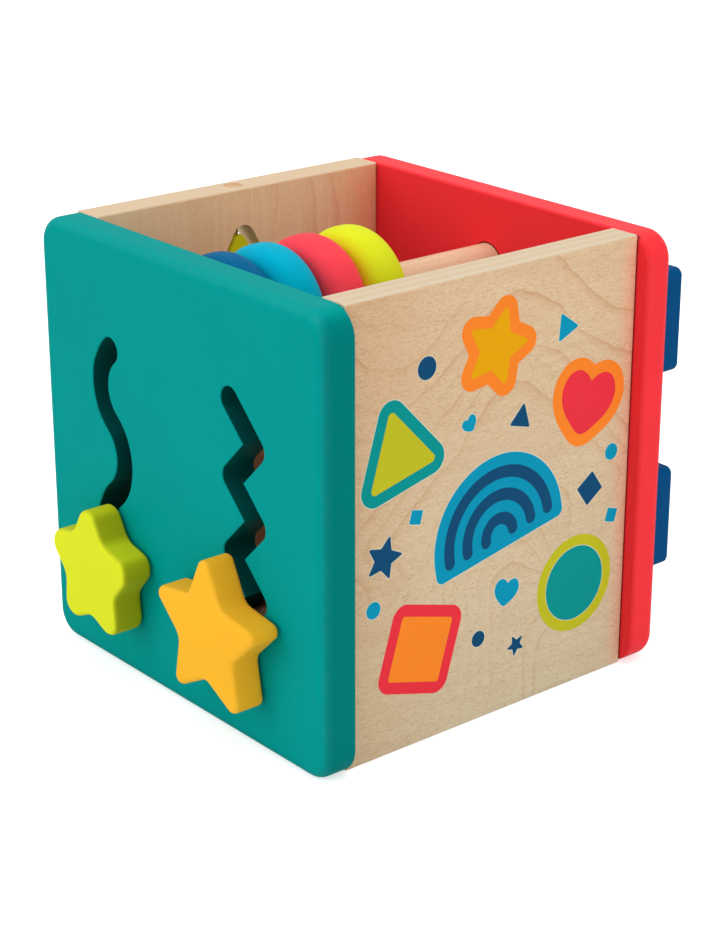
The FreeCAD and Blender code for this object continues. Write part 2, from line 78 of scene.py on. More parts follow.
class Graph:
    """The node tree of a material or world, with short calls for the nodes used here.

    Spans are (from, to) pairs, and a span may run downward.
    """

    def __init__(self, owner):
        self.owner = owner
        owner.use_nodes = True
        self.tree = owner.node_tree
        self.tree.nodes.clear()

    def node(self, kind, inputs=None, **props):
        n = self.tree.nodes.new(kind)
        for key, value in props.items():
            setattr(n, key, value)
        for key, value in (inputs or {}).items():
            if isinstance(value, bpy.types.NodeSocket):
                self.tree.links.new(value, n.inputs[key])
            else:
                n.inputs[key].default_value = value
        return n

    def math(self, op, a, b=0.0):
        return self.node("ShaderNodeMath", {0: a, 1: b}, operation=op).outputs[0]

    def add(self, a, b):
        return self.math("ADD", a, b)

    def sub(self, a, b):
        return self.math("SUBTRACT", a, b)

    def mul(self, a, b):
        return self.math("MULTIPLY", a, b)

    def remap(self, value, span, to, **props):
        inputs = {"Value": value, "From Min": span[0], "From Max": span[1]}
        inputs.update({"To Min": to[0], "To Max": to[1]})
        return self.node("ShaderNodeMapRange", inputs, **props).outputs[0]

    def smooth(self, value, span, to=(0.0, 1.0)):
        return self.remap(value, span, to, interpolation_type="SMOOTHSTEP")

    def linear(self, value, span=(0.0, 1.0), to=(0.0, 1.0)):
        return self.remap(value, span, to, clamp=True)

    def noise(self, *axes, detail=2.0, rough=0.5):
        """Noise over three axes: each is (coordinate, scale), (coordinate, scale, shift) or bare."""
        parts = {}
        for i, axis in enumerate(axes):
            if isinstance(axis, tuple):
                coordinate, per_mm, *shift = axis
                axis = self.mul(coordinate, per_mm)
                if shift:
                    axis = self.add(axis, shift[0])
            parts[i] = axis
        vector = self.node("ShaderNodeCombineXYZ", parts).outputs[0]
        inputs = {"Vector": vector, "Scale": 1.0, "Detail": detail, "Roughness": rough}
        return self.node("ShaderNodeTexNoise", inputs).outputs[0]

    def mix(self, amount, a, b):
        inputs = {0: amount, 6: a, 7: b}
        return self.node(
            "ShaderNodeMix", inputs, data_type="RGBA", blend_type="MIX", clamp_factor=True
        ).outputs[2]

    def shade(self, colour, value):
        """The colour times a plain number."""
        if not isinstance(colour, bpy.types.NodeSocket):
            colour = colour[:3]
        return self.node("ShaderNodeVectorMath", {0: colour, 3: value}, operation="SCALE").outputs[0]

    def shade_where(self, colour, mask, by):
        """The colour times `by` where the mask is 1."""
        return self.shade(colour, self.linear(mask, to=(1.0, by)))

    def tint(self, colour, amount, to, start=(1.0, 1.0, 1.0)):
        """The colour times a colour that runs from start to `to`."""
        tint = self.mix(amount, start + (1.0,), to + (1.0,))
        inputs = {0: colour, 1: tint}
        return self.node("ShaderNodeVectorMath", inputs, operation="MULTIPLY").outputs[0]

    def ramp(self, value, stops):
        """A grey ramp through (place, grey) stops."""
        n = self.node("ShaderNodeValToRGB", {0: value})
        elements = n.color_ramp.elements
        while len(elements) < len(stops):
            elements.new(0.5)
        for element, (place, grey) in zip(elements, stops):
            element.position = place
            element.color = (grey, grey, grey, 1.0)
        return n.outputs[0]

    def place(self):
        """Object coordinates in millimetres, as x, y and z."""
        co = self.node("ShaderNodeTexCoord").outputs["Object"]
        in_mm = self.node("ShaderNodeVectorMath", {0: co, 3: 1000.0}, operation="SCALE")
        return tuple(self.node("ShaderNodeSeparateXYZ", {0: in_mm.outputs[0]}).outputs)

    def facings(self):
        """How squarely the surface faces along each of the object's own axes, 0 to 1."""
        normal = self.node("ShaderNodeNewGeometry").outputs["Normal"]
        own = self.node(
            "ShaderNodeVectorTransform",
            {0: normal},
            vector_type="NORMAL",
            convert_from="WORLD",
            convert_to="OBJECT",
        )
        unit = self.node("ShaderNodeVectorMath", {0: own.outputs[0]}, operation="NORMALIZE")
        parts = self.node("ShaderNodeSeparateXYZ", {0: unit.outputs[0]}).outputs
        return {axis: self.math("ABSOLUTE", part) for axis, part in zip("XYZ", parts)}

    def bump(self, height, depth_mm, strength):
        inputs = {"Height": height, "Strength": strength, "Distance": depth_mm * MM}
        return self.node("ShaderNodeBump", inputs).outputs[0]

    def surface(self, colour, roughness, **more):
        """Finishes the material. Further inputs have underscores for the spaces in their names."""
        inputs = {"Base Color": colour, "Roughness": roughness}
        inputs.update({key.replace("_", " "): value for key, value in more.items()})
        shader = self.node("ShaderNodeBsdfPrincipled", inputs)
        self.node("ShaderNodeOutputMaterial", {"Surface": shader.outputs[0]})
        return self.owner


def new_graph(name):
    return Graph(bpy.data.materials.new(name))


# ---------------------------------------------------------------- painted wood


def paint_recess_shade(g, base, coords, facing, reach, low, high, by):
    """Painted shade: darkens the walls of cuts inside |x| < reach and low < z < high, standing in for
    the shade inside the slots.
    """
    x, _, z = coords
    inside = g.math("LESS_THAN", g.math("ABSOLUTE", x), reach)
    in_height = g.mul(g.math("GREATER_THAN", z, low), g.math("LESS_THAN", z, high))
    inside = g.mul(inside, in_height)
    return g.shade_where(base, g.mul(inside, g.smooth(facing, (0.55, 0.25))), by)


def paint_strip_shade(g, base, coords, start, by, joint_shade_by):
    """Painted shade: dims the inner face outside |x| = start, in the corners beside the side boards,
    with a darker painted shadow line at the joint short of the side boards' faces.
    """
    x, y, _ = coords
    outside = g.math("GREATER_THAN", g.math("ABSOLUTE", x), start)
    strip = g.mul(outside, g.math("LESS_THAN", y, RED_INNER_Y))
    joint = g.mul(strip, g.smooth(g.math("ABSOLUTE", x), (75.9, 75.1)))
    return g.shade_where(g.shade_where(base, strip, by), joint, joint_shade_by)


def paint_ring_shade(g, base, coords, middle_x, middle_z, radius, by):
    """Painted shade: darkens the inner face round a hole, as the shadow where the dowel goes in."""
    x, y, z = coords
    dx, dz = g.sub(x, middle_x), g.sub(z, middle_z)
    reach = g.math("SQRT", g.add(g.mul(dx, dx), g.mul(dz, dz)))
    near = g.smooth(reach, (radius + 0.9, radius + 0.2))
    return g.shade_where(base, g.mul(near, g.math("LESS_THAN", y, RED_INNER_Y)), by)


def satin_paint(
    name,
    colour,
    seed,
    grain="Z",
    face="Y",
    rough=0.46,
    edge_wear_and_highlight=0.04,
    shine=0.06,
    floor_tint=0.10,
    side_light_and_shade=None,
    slot_shade=None,
    strip_shade=None,
    ring_shade=None,
):
    """Sprayed satin paint: soft cloudiness, a trace of grain, and lighter edges, both from thinner
    paint and a painted highlight.

    floor_tint is the least value of a channel in the reflection's colour. The side factors scale the
    colour on the surfaces facing along the two axes other than face: painted shade and painted light,
    for how the lamps fall on those sides.
    """
    g = new_graph(name)
    coords = x, y, z = g.place()
    axes = dict(zip("XYZ", coords))
    along = axes.pop(grain)
    across, through = axes.values()
    facings = g.facings()
    facing = facings.pop(face)

    cloud = g.noise((x, 0.021, seed), (y, 0.021), (z, 0.021), detail=3.0, rough=0.55)
    speck = g.noise((x, 1.3), (y, 1.3), (z, 1.3, seed), detail=3.0, rough=0.6)
    streak = g.noise((along, 0.028, seed), (across, 0.55), (through, 0.55), detail=4.0, rough=0.62)
    value = g.linear(cloud, (0.3, 0.7), to=(0.972, 1.026))
    value = g.mul(value, g.linear(speck, (0.25, 0.75), to=(0.988, 1.012)))
    value = g.mul(value, g.linear(streak, (0.3, 0.7), to=(0.988, 1.012)))
    base = g.shade(colour, value)

    # the rounded rim between the face and the side carries less paint, and is also lightened as a
    # painted highlight
    rim = g.mul(g.smooth(facing, (0.10, 0.45)), g.smooth(facing, (0.97, 0.80)))
    patches = g.noise((x, 0.35), (y, 0.35), (z, 0.35), detail=3.0, rough=0.7)
    worn_and_highlit = g.mul(rim, g.linear(patches, (0.42, 0.66), to=(0.35, 1.0)))
    lighter = tuple(c + (1.0 - c) * 0.30 for c in colour[:3]) + (1.0,)
    base = g.mix(g.mul(worn_and_highlit, edge_wear_and_highlight), base, lighter)

    # painted shade and painted light on the side faces, for how the lamps fall on them
    if side_light_and_shade is not None:
        for side_facing, by in zip(facings.values(), side_light_and_shade):
            base = g.shade(base, g.smooth(side_facing, (0.35, 0.95), to=(1.0, by)))
    # painted shade on the walls of the slots
    if slot_shade is not None:
        base = paint_recess_shade(g, base, coords, facing, **slot_shade)
    # painted shade in the corners beside the side boards, with a painted shadow line at each joint
    if strip_shade is not None:
        base = paint_strip_shade(g, base, coords, **strip_shade)
    # painted shadow round the dowel's hole
    if ring_shade is not None:
        base = paint_ring_shade(g, base, coords, **ring_shade)

    # relief: orange peel, fine texture and the grain, each with its share of the height
    peel = g.noise((x, 0.75), (y, 0.75), (z, 0.75))
    fine = g.noise((x, 3.2), (y, 3.2), (z, 3.2))
    height = g.add(g.mul(peel, 0.6), g.add(g.mul(fine, 0.18), g.mul(streak, 0.5)))
    blotch = g.add(g.mul(cloud, 0.6), g.mul(speck, 0.4))
    peak = max(colour[:3])
    return g.surface(
        base,
        g.linear(blotch, (0.3, 0.7), to=(rough - 0.045, rough + 0.055)),
        Normal=g.bump(height, depth_mm=0.05, strength=0.55),
        Specular_IOR_Level=shine,
        Specular_Tint=tuple(floor_tint + (1.0 - floor_tint) * c / peak for c in colour[:3]) + (1.0,),
    )


# ---------------------------------------------------------------- plain boards


def add_ridge(g, u, v, height, middle, reach, swell, turn_at, steep, lean):
    """Bends the growth lines: hollows beside a ridge above turn_at, leaning tall arches below."""
    away = g.sub(u, middle)
    hump = g.math("COSINE", g.mul(away, 1.0 / reach))
    upper = g.smooth(v, (turn_at - 14.0, turn_at + 22.0))
    shift = g.mul(g.math("MAXIMUM", g.sub(turn_at - 52.0, v), 0.0), lean)
    off = g.sub(away, shift)
    steepness = g.smooth(v, (turn_at - 24.0, turn_at - 56.0), to=(steep, steep * 3.6))
    arch = g.mul(g.mul(off, off), steepness)
    # levels off towards a height of 110
    arch = g.math("DIVIDE", arch, g.add(1.0, g.mul(arch, 1.0 / 110.0)))
    height = g.sub(height, g.mul(g.mul(hump, swell), upper))
    return g.add(height, g.mul(arch, g.sub(1.0, upper)))


def growth_lines(g, u, v, w, seed, line_gap, ridge):
    """Level lines of a slowly bending height, as on a face peeled from a log."""
    warp = g.sub(g.noise((u, 0.0125, seed), (v, 0.016), (w, 0.02), rough=0.45), 0.5)
    wobble = g.sub(g.noise((u, 0.06), (v, 0.085, seed), (w, 0.05)), 0.5)
    tremble = g.sub(g.noise((u, 0.33), (v, 0.45), g.add(w, seed), detail=1.0), 0.5)
    # how far each of the three bends the lines, in millimetres
    warp_by, wobble_by, tremble_by = (40.0 if ridge is None else 22.0), 5.0, 0.7
    small = g.add(g.mul(wobble, wobble_by), g.mul(tremble, tremble_by))
    height = g.add(v, g.add(g.mul(warp, warp_by), small))
    if ridge is not None:
        height = add_ridge(g, u, v, height, **ridge)

    steps = g.mul(height, 1.0 / line_gap)
    part = g.math("FRACT", steps)
    which = g.math("FLOOR", steps)
    chance = g.node("ShaderNodeTexWhiteNoise", {"W": which}, noise_dimensions="1D").outputs[0]
    weight = g.linear(chance, (0.15, 1.0), to=(0.12, 1.0))
    patches = g.noise((u, 0.03), (v, 0.05), (w, 0.05, seed + 3.0))
    fading = g.linear(patches, (0.35, 0.62), to=(0.2, 1.0))
    line = g.ramp(part, [(0.0, 0.0), (0.50, 0.05), (0.80, 0.45), (0.93, 1.0), (1.0, 0.0)])
    line = g.mul(g.mul(line, weight), fading)
    if ridge is not None:
        line = g.mul(line, g.linear(v, (20.0, 100.0), to=(0.45, 1.0)))
    return line


def paint_inner_shade(g, base, y, z, w, high, bottom, clear, dim):
    """On the face that looks into the box: painted shade that dims it towards the bottom, a painted
    reddish glow of light from the red board beside it, and a painted shadow line in the corner against
    the red board.
    """
    red_glow_from, red_glow_to = 34.0, 63.5
    inner = g.math("GREATER_THAN", w, high - 1.5)
    dimmed = g.shade(base, g.linear(z, (bottom, clear), to=(dim, 1.0)))
    dimmed = g.tint(dimmed, g.smooth(y, (red_glow_from, red_glow_to)), (1.0, 0.70, 0.66))
    dimmed = g.shade(dimmed, g.smooth(y, (63.5, 64.3), to=(1.0, 0.30)))
    return g.mix(inner, base, dimmed)


def tint_ends(g, base, u, v, near, far, top):
    """Browner towards the near end, greyer towards the foot, and a painted reddish glow of light from
    the red board at the far end.
    """
    foot = g.linear(v, (top - 10.0, 5.0))
    base = g.tint(base, foot, (0.865, 0.975, 1.03), start=(0.99, 0.96, 0.93))
    base = g.tint(base, g.smooth(u, (near + 44.0, near + 3.0)), (0.93, 0.84, 0.78))
    # painted reddish glow of light from the red board beside the far end
    return g.tint(base, g.smooth(u, (far - 9.0, far)), (1.17, 0.955, 0.955))


def cut_layers(g, u, v, w, faces, seed, edge, dark, brown):
    """Colour of the cut edges, and the glue seams: every second layer shows end grain."""
    low, high = faces
    layers = 5.0
    depth = g.mul(g.sub(w, low), layers / (high - low))
    waver = g.mul(g.sub(g.noise((u, 0.03), (v, 0.03), seed), 0.5), 0.28)
    depth = g.add(depth, waver)
    layer = g.math("FRACT", g.mul(depth, 0.5))
    cross = g.mul(g.smooth(layer, (0.46, 0.52)), g.smooth(layer, (1.0, 0.94)))
    seam = g.math("FRACT", depth)
    glue = g.add(g.smooth(seam, (0.10, 0.0)), g.smooth(seam, (0.90, 1.0)))
    thread = g.noise((u, 0.05), (v, 0.05), (w, 4.2), detail=3.0, rough=0.6)
    spot = g.noise((u, 3.0), (v, 3.0), (w, 2.2), rough=0.6)
    cut = g.mix(g.mul(cross, 0.42), edge, dark)
    cut = g.mix(g.linear(thread, (0.35, 0.70), to=(0.0, 0.26)), cut, scale(dark, 0.92))
    cut = g.mix(g.mul(g.smooth(spot, (0.52, 0.72)), g.mul(cross, 0.22)), cut, brown)
    return g.mix(g.mul(glue, 0.17), cut, brown), glue


def plywood(
    name,
    order,
    faces,
    colours,
    seed,
    line_gap,
    line_show=1.0,
    pore_show=1.0,
    ridge=None,
    tones=None,
    inside=None,
):
    """Pale beech-faced board: growth lines, short pores, and thin layers where it is cut.

    order names the axes along the grain (u), across it (v) and through the board (w). faces are
    the two faces' places on w. colours are the light and dark wood and the cut edge.
    """
    g = new_graph(name)
    _, y, z = coords = g.place()
    axes = dict(zip("XYZ", coords))
    u, v, w = (axes[axis] for axis in order)
    facing = g.facings()[order[2]]
    light, dark, edge = colours
    reddish = scale(dark, (0.93, 0.74, 0.63))
    brown = scale(dark, (0.70, 0.52, 0.38))
    line = growth_lines(g, u, v, w, seed, line_gap, ridge)

    # pores: short dark dashes along the grain, and wider soft streaks
    long_pore = g.noise((u, 0.55), (v, 3.3), (w, 3.3), rough=0.6)
    short_pore = g.noise((u, 1.1), (v, 5.0, 7.0), (w, 5.0), detail=1.0)
    grain = g.noise((u, 0.62, 3.0), (v, 2.1), (w, 2.1), detail=3.0, rough=0.75)
    long_dash = g.mul(g.smooth(long_pore, (0.52, 0.68)), 0.75)
    dash = g.add(long_dash, g.mul(g.smooth(short_pore, (0.54, 0.72)), 0.60))
    grit = g.linear(grain, (0.30, 0.70), to=(-1.0, 1.0))
    streak = g.noise((u, 0.022, seed), (v, 0.42), (w, 0.42), detail=4.0, rough=0.6)
    cloud = g.noise((u, 0.014, seed), (v, 0.020), (w, 0.02))
    ray = g.noise((u, 1.9), (v, 0.8), (w, 1.9), detail=1.0)

    # how much of each mark shows
    ray_by, line_by, dash_by, grit_by = 0.12, 0.80 * line_show, 0.40 * pore_show, 0.040 * pore_show
    base = g.mix(g.linear(streak, (0.32, 0.70), to=(0.0, 0.42)), light, dark)
    base = g.mix(g.linear(cloud, (0.35, 0.68), to=(0.0, 0.26)), base, dark)
    base = g.mix(g.mul(g.smooth(ray, (0.62, 0.78)), ray_by), base, scale(light, 1.12))
    broken_line = g.mul(line, g.linear(grain, (0.35, 0.6), to=(0.65, 1.0)))
    base = g.mix(g.mul(broken_line, line_by), base, reddish)
    base = g.mix(g.mul(dash, dash_by), base, g.mix(0.30, brown, dark))
    base = g.shade(base, g.add(1.0, g.mul(grit, grit_by)))
    # painted shade, a painted red glow and a painted shadow line on the face inside the box
    if inside is not None:
        base = paint_inner_shade(g, base, y, z, w, faces[1], **inside)
    if tones is not None:
        base = tint_ends(g, base, u, v, **tones)

    cut, glue = cut_layers(g, u, v, w, faces, seed, edge, dark, brown)
    cut_show = 1.0
    on_edge = g.mul(g.smooth(facing, (0.93, 0.70)), cut_show)

    # relief: raised streaks, sunken pores, lines and glue seams
    relief = g.sub(g.mul(streak, 0.5), g.add(g.mul(dash, 0.75), g.mul(line, 0.06)))
    relief = g.sub(relief, g.mul(on_edge, g.mul(glue, 0.5)))
    rough = 0.56
    roughness = g.linear(streak, (0.3, 0.7), to=(rough - 0.05, rough + 0.05))
    return g.surface(
        g.mix(on_edge, base, cut),
        g.add(roughness, g.mul(dash, 0.08)),
        Normal=g.bump(relief, depth_mm=0.06, strength=0.6),
        Specular_IOR_Level=0.33,
    )


# ---------------------------------------------------------------- dowels, steel and ink


def turned_wood(name, light, dark, grain, seed):
    """Turned plain wood: long streaks along the grain, fine pores, and rings on the ends."""
    g = new_graph(name)
    axes = dict(zip("XYZ", g.place()))
    along = axes.pop(grain)
    across, through = axes.values()
    facing = g.facings()[grain]
    brown = scale(dark, (0.60, 0.48, 0.38))

    # flat growth sheets along the piece: long bands on its round side, curved rings on its ends
    bend = g.noise((along, 0.02, seed), (across, 0.05), (through, 0.05), detail=1.0)
    curve = g.mul(g.mul(through, through), 0.018)
    rings = g.add(g.mul(across, 0.42), g.add(curve, g.mul(bend, 2.6)))
    band = g.ramp(g.math("FRACT", rings), [(0.0, 0.0), (0.6, 0.25), (0.92, 1.0), (1.0, 0.0)])
    streak = g.noise((along, 0.03, seed), (across, 0.9), (through, 0.9), detail=4.0, rough=0.6)
    pore = g.noise((along, 0.45), (across, 3.3), (through, 3.3), rough=0.6)
    dash = g.smooth(pore, (0.54, 0.72))
    base = g.mix(g.linear(streak, (0.3, 0.7), to=(0.0, 0.55)), light, dark)
    base = g.mix(g.mul(band, 0.30), base, scale(dark, 0.86))
    base = g.mix(g.mul(dash, 0.34), base, brown)

    end = g.smooth(facing, (0.75, 0.95))
    speck = g.noise((across, 3.6), (through, 3.6), (along, 0.4), rough=0.6)
    cut = g.mix(g.mul(band, 0.5), scale(dark, 0.92), brown)
    cut = g.mix(g.mul(g.smooth(speck, (0.5, 0.7)), 0.35), cut, brown)

    relief = g.sub(g.mul(streak, 0.4), g.mul(dash, 0.7))
    rough = 0.5
    roughness = g.linear(streak, (0.3, 0.7), to=(rough - 0.05, rough + 0.06))
    return g.surface(
        g.mix(end, base, cut),
        g.add(roughness, g.mul(end, 0.12)),
        Normal=g.bump(relief, depth_mm=0.06, strength=0.6),
        Specular_IOR_Level=0.35,
    )


def brushed_steel(name):
    """Bare steel with fine scratches and patches of tarnish."""
    g = new_graph(name)
    x, y, z = g.place()
    scratch = g.noise((x, 0.4), (y, 0.4), (z, 9.0), detail=4.0, rough=0.65)
    tarnish = g.noise((x, 0.2), (y, 0.2), (z, 0.08), detail=3.0)
    dulled = g.linear(tarnish, (0.35, 0.7), to=(0.0, 0.5))
    return g.surface(
        g.mix(dulled, lin(196, 198, 200), lin(150, 150, 148)),
        g.linear(scratch, (0.3, 0.7), to=(0.22, 0.38)),
        Normal=g.bump(scratch, depth_mm=0.02, strength=0.5),
        Metallic=1.0,
    )


def ink(name, colour, seed):
    """Screen-printed ink: nearly even, with the wood's pores just telling through it."""
    g = new_graph(name)
    x, y, z = g.place()
    dash = g.smooth(g.noise((y, 0.42), (z, 2.7), (x, 2.7), rough=0.6), (0.55, 0.72))
    cloud = g.noise((y, 0.05, seed), (z, 0.05), 0.0, detail=3.0)
    mottle = g.noise((y, 1.5), (z, 1.5), seed, detail=3.0, rough=0.6)
    cloud_value = g.linear(cloud, (0.3, 0.7), to=(0.975, 1.025))
    value = g.mul(cloud_value, g.linear(mottle, (0.3, 0.7), to=(0.985, 1.015)))
    value = g.mul(value, g.linear(dash, to=(1.0, 0.955)))
    return g.surface(
        g.shade(colour, value),
        g.linear(mottle, (0.3, 0.7), to=(0.50, 0.60)),
        Normal=g.bump(g.sub(g.mul(mottle, 0.3), dash), depth_mm=0.03, strength=0.5),
        Specular_IOR_Level=0.05,
    )


# ---------------------------------------------------------------- which piece wears what

TEAL = lin(0, 149, 145)
RED = lin(255, 48, 58)
DARK_BLUE = lin(0, 98, 146)
BLOCK_BLUE = lin(0, 78, 132)
LIGHT_BLUE = lin(0, 172, 203)
CORAL = lin(255, 72, 85)
LIME = lin(222, 230, 36)
YELLOW = lin(252, 186, 44)

# light wood, dark wood, cut edge
BEECH = (lin(236, 209, 172), lin(218, 182, 141), lin(218, 202, 174))
INNER = (lin(250, 220, 178), lin(232, 190, 142), lin(232, 208, 178))
LEFT = INNER[:2] + (lin(219, 197, 168),)


def bead_paint(name, colour, seed):
    return satin_paint(name, colour, seed, grain="Y", rough=0.50, edge_wear_and_highlight=0.0)


looks = {
    "front_panel": satin_paint(
        "teal_paint_board",
        TEAL,
        seed=1.3,
        edge_wear_and_highlight=0.03,
        shine=0.02,
        # painted shade on the sides facing X, painted light on the top and bottom
        side_light_and_shade=(0.68, 1.04),
        # painted shade on the slot walls
        slot_shade=dict(reach=68.0, low=14.0, high=148.0, by=0.36),
    ),
    "back_panel": satin_paint(
        "red_paint_board",
        RED,
        seed=4.1,
        edge_wear_and_highlight=0.03,
        shine=0.32,
        floor_tint=0.25,
        # painted shade beside the side boards and at the joints
        strip_shade=dict(start=73.5, by=0.92, joint_shade_by=0.42),
        # painted shadow ring round the dowel's hole
        ring_shade=dict(middle_x=0.0, middle_z=135.1, radius=7.5, by=0.12),
    ),
    "right_panel": plywood(
        "beech_printed_board",
        order="YZX",
        faces=(SIDE_X - SIDE_THICK, SIDE_X),
        colours=BEECH,
        seed=2.2,
        line_gap=7.6,
        line_show=1.35,
        pore_show=1.7,
        ridge=dict(middle=8.0, reach=17.5, swell=16.0, turn_at=104.0, steep=0.0135, lean=0.75),
        tones=dict(near=-SIDE_END_Y, far=SIDE_END_Y, top=SIDE_TOP_Z),
    ),
    "left_panel": plywood(
        "beech_left_board",
        order="ZYX",
        faces=(-SIDE_X, SIDE_THICK - SIDE_X),
        colours=LEFT,
        seed=7.9,
        line_gap=11.0,
        line_show=0.9,
        pore_show=1.1,
        # painted shade darkening the inner face towards the bottom
        inside=dict(bottom=48.0, clear=98.0, dim=0.32),
    ),
    "base_panel": plywood(
        "beech_floor_board",
        order="XYZ",
        faces=(0.0, FLOOR_THICK),
        colours=INNER,
        seed=12.4,
        line_gap=8.0,
        # painted shade over the floor board's top face
        inside=dict(bottom=10.0, clear=60.0, dim=0.70),
    ),
    "bead_rod": turned_wood(
        "dowel_wood_rod", lin(242, 206, 171), lin(226, 176, 136), grain="Y", seed=3.0
    ),
    "rod_plug": turned_wood(
        "dowel_wood_plug", lin(246, 220, 184), lin(228, 190, 150), grain="Z", seed=5.0
    ),
    "spinner_rod": brushed_steel("steel_rod"),
    "spinner": satin_paint("lime_paint_spinner", LIME, seed=8.8, face="X"),
    "star_knob": satin_paint("yellow_paint_knob", YELLOW, seed=6.2, grain="X"),
    # painted shade on the flower knob's side faces
    "flower_knob": satin_paint("lime_paint_knob", LIME, seed=9.4, grain="X", side_light_and_shade=(0.56, 0.84)),
    "bead_dark_blue": bead_paint("dark_blue_paint_bead", DARK_BLUE, seed=0.7),
    "bead_light_blue": bead_paint("light_blue_paint_bead", LIGHT_BLUE, seed=2.7),
    "bead_coral": bead_paint("coral_paint_bead", CORAL, seed=3.7),
    "bead_lime": bead_paint("lime_paint_bead", LIME, seed=5.7),
    "upper_block": satin_paint("blue_paint_upper_block", BLOCK_BLUE, seed=7.1),
    "lower_block": satin_paint("blue_paint_lower_block", BLOCK_BLUE, seed=3.9),
}
pin_wood = turned_wood(
    "dowel_wood_pin", lin(232, 200, 160), lin(208, 166, 124), grain="Y", seed=1.0
)
washer_wood = turned_wood(
    "washer_wood_disc", lin(226, 192, 150), lin(200, 158, 116), grain="Y", seed=6.0
)
for name, piece in nodes.items():
    plain = washer_wood if name.endswith("washer") else pin_wood
    piece.data.materials.clear()
    piece.data.materials.append(looks.get(name, plain))


# ---------------------------------------------------------------- outlines of the printed shapes
# An outline is an array of (y, z) points, seen from outside the board: y to the right, z up.


def on_circle(centre, radius, degrees):
    t = np.radians(degrees)
    return np.stack([centre[0] + radius * np.cos(t), centre[1] + radius * np.sin(t)], 1)


def disc(centre, radius, count):
    return on_circle(centre, radius, np.linspace(0, 360, count, endpoint=False))


def regular(centre, count, reach, turn):
    """Corners of a regular polygon."""
    return on_circle(centre, reach, turn + 360 * np.arange(count) / count)


def star(centre, tip, dip, turn):
    """Corners of a five-pointed star; tip and dip are the outer and inner radii."""
    return on_circle(centre, np.tile([tip, dip], 5), turn + 36 * np.arange(10))


def turned(points, degrees):
    """The points turned anticlockwise about the origin."""
    t = math.radians(degrees)
    m = np.array([[math.cos(t), -math.sin(t)], [math.sin(t), math.cos(t)]])
    return points @ m.T


def rounded(points, radius, steps=8):
    """A closed outline with every corner turned into an arc; radius is one number or a list."""
    corners = [np.array(p, float) for p in points]
    n = len(corners)
    radii = [radius] * n if np.isscalar(radius) else radius
    out = []
    for i in range(n):
        before, corner, after = corners[i - 1], corners[i], corners[(i + 1) % n]
        if radii[i] <= 0:
            out.append(corner)
            continue
        u, v = before - corner, after - corner
        u_length, v_length = np.linalg.norm(u), np.linalg.norm(v)
        u, v = u / u_length, v / v_length
        half = math.acos(max(-1.0, min(1.0, float(u @ v)))) / 2
        back = min(radii[i] / math.tan(half), 0.49 * u_length, 0.49 * v_length)
        r = back * math.tan(half)
        middle = (u + v) / np.linalg.norm(u + v)
        centre = corner + middle * (r / math.sin(half))
        first, last = corner + u * back - centre, corner + v * back - centre
        start = math.atan2(first[1], first[0])
        sweep = math.atan2(last[1], last[0]) - start
        sweep = (sweep + math.pi) % (2 * math.pi) - math.pi
        for k in range(steps + 1):
            t = start + sweep * k / steps
            out.append(centre + r * np.array([math.cos(t), math.sin(t)]))
    return np.array(out)


def spline(points, steps=10):
    """A smooth line through points, open at both ends."""
    P = np.array(points, float)
    P = np.vstack([2 * P[0] - P[1], P, 2 * P[-1] - P[-2]])
    out = []
    for i in range(1, len(P) - 2):
        a, b, c, d = P[i - 1 : i + 3]
        for k in range(steps):
            t = k / steps
            square = (2 * a - 5 * b + 4 * c - d) * t * t
            cube = (3 * b - a - 3 * c + d) * t**3
            out.append(0.5 * (2 * b + (c - a) * t + square + cube))
    out.append(P[-2])
    return np.array(out)


# one side of a plain heart from the notch to the tip, (y, z) from the notch
HEART_SIDE = [
    (0.0, 0.0), (2.7, 2.35), (6.6, 3.55), (10.6, 1.9), (12.9, -2.4),
    (12.6, -7.2), (10.1, -11.6), (6.3, -15.3), (2.6, -18.2), (0.0, -19.1),
]


def heart(notch, size, turn):
    """turn is the angle from upright, clockwise."""
    side = spline(HEART_SIDE)
    full = np.vstack([side[:-1], (side * [-1, 1])[:0:-1]])
    return turned(full, -turn) * size + np.array(notch)


def arc_band(centre, radius, width, start, stop, count=48):
    """A bent bar with round ends."""
    angles = np.linspace(start, stop, count)

    def cap(angle, begin):
        middle = on_circle(centre, radius, [angle])[0]
        return on_circle(middle, width / 2, np.linspace(begin, begin + 180, 13)[1:-1])

    outer = on_circle(centre, radius + width / 2, angles)
    inner = on_circle(centre, radius - width / 2, angles)[::-1]
    return np.vstack([outer, cap(stop, stop), inner, cap(start, start + 180)])


